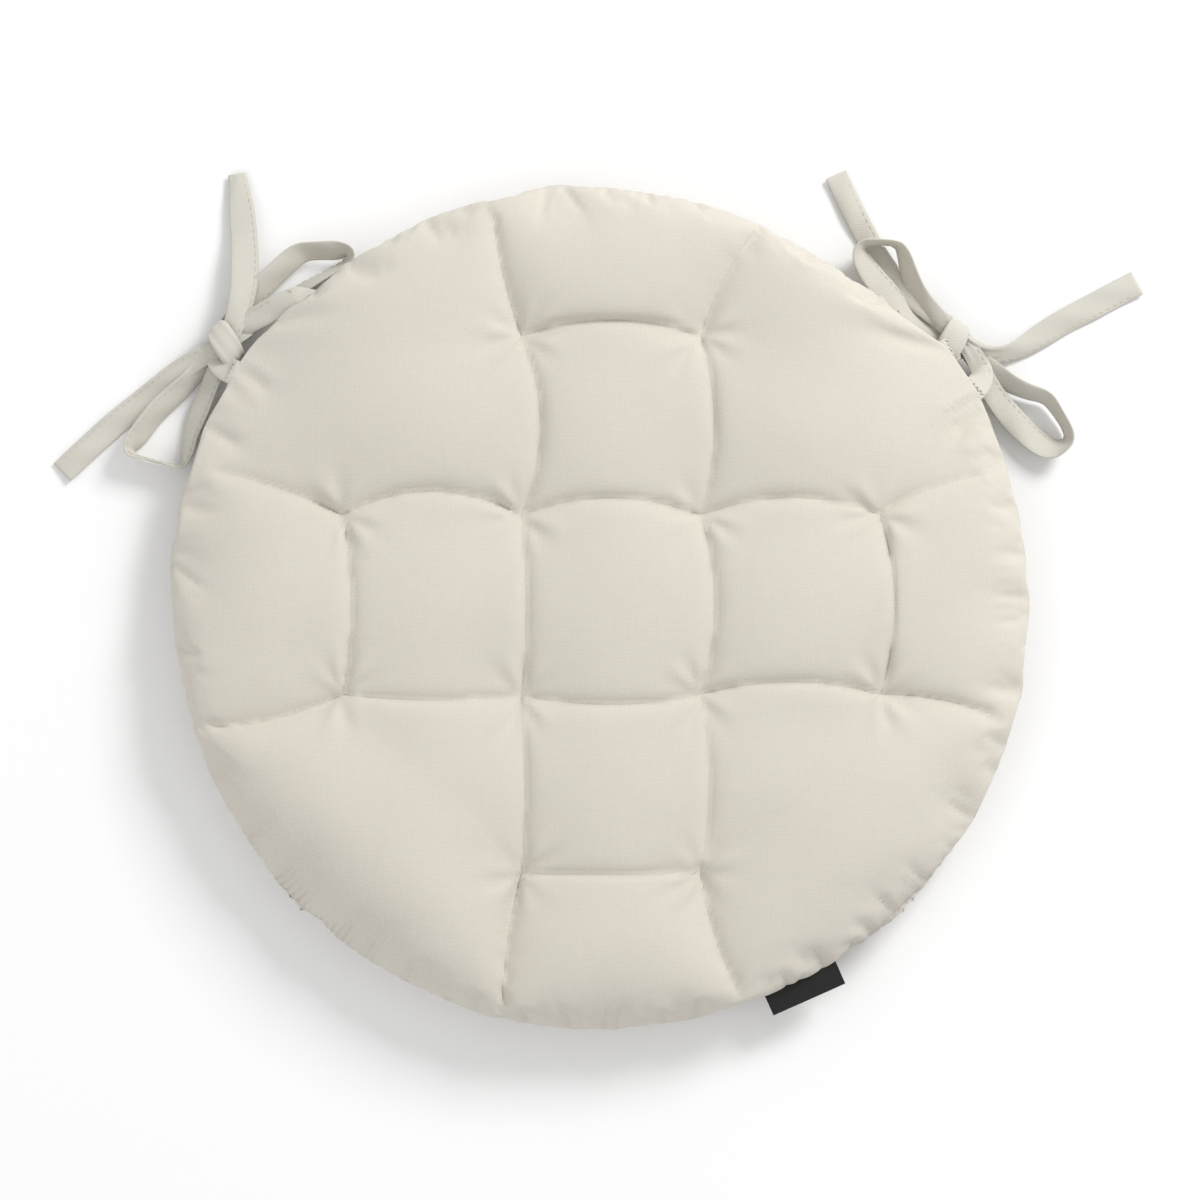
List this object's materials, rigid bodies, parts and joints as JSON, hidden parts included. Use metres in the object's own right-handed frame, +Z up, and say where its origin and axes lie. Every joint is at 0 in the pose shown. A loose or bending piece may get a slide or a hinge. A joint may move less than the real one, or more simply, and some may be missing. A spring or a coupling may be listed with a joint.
{
  "type": "chair seat pad",
  "caption": "Round tufted cotton seat pad, soft filled, with fabric ties knotted in a bow at each back corner and a small woven seam label.",
  "frame": {"origin": "centre of the pad's outline, on the surface that it rests on", "axes": "+Z up through the pad, +Y towards the back edge where the ties are, +X to the sitter's left looking at the chair from the front, as seen from above to the right"},
  "size_m": [0.5045, 0.4026, 0.05],
  "materials": {
    "cover_cloth": "matt off-white plain-weave cotton",
    "tie_cloth": "matt off-white plain-weave cotton, folded and edge stitched",
    "sewing_thread": "natural cotton thread",
    "filling_fibre": "white polyester fibre wadding",
    "label_weave": "black woven damask tape, blank"
  },
  "bodies": {
    "pad": {"top_cover": "cover_cloth", "bottom_cover": "cover_cloth", "fibre_filling": "filling_fibre", "tuft_stitch_01": "sewing_thread", "tuft_stitch_02": "sewing_thread", "tuft_stitch_03": "sewing_thread", "tuft_stitch_04": "sewing_thread", "tuft_stitch_05": "sewing_thread", "tuft_stitch_06": "sewing_thread", "tuft_stitch_07": "sewing_thread", "tuft_stitch_08": "sewing_thread", "tuft_stitch_09": "sewing_thread", "tuft_stitch_10": "sewing_thread", "tuft_stitch_11": "sewing_thread", "tuft_stitch_12": "sewing_thread", "perimeter_seam_thread": "sewing_thread", "closing_stitch_thread": "sewing_thread", "left_rear_tie_tack": "sewing_thread", "left_front_tie_tack": "sewing_thread", "right_rear_tie_tack": "sewing_thread", "right_front_tie_tack": "sewing_thread"},
    "left_bow": {"left_rear_tie": "tie_cloth", "left_front_tie": "tie_cloth"},
    "right_bow": {"right_rear_tie": "tie_cloth", "right_front_tie": "tie_cloth"},
    "label": {"woven_label": "label_weave"}
  },
  "joints": [
    {"name": "left_bow_swing", "type": "hinge", "parent": "pad", "child": "left_bow", "pos_m": [-0.1558, 0.1272, 0.02], "axis": [0.6591, 0.752, 0], "range_deg": [0, 100]},
    {"name": "right_bow_swing", "type": "hinge", "parent": "pad", "child": "right_bow", "pos_m": [0.1679, 0.11115, 0.02], "axis": [0.5612, -0.8277, 0], "range_deg": [0, 100]},
    {"name": "label_flap", "type": "hinge", "parent": "pad", "child": "label", "pos_m": [0.09543, -0.17576, 0.02], "axis": [-0.9128, -0.4083, 0], "range_deg": [-60, 90], "stiffness_Nm_per_rad": 0.0005}
  ]
}
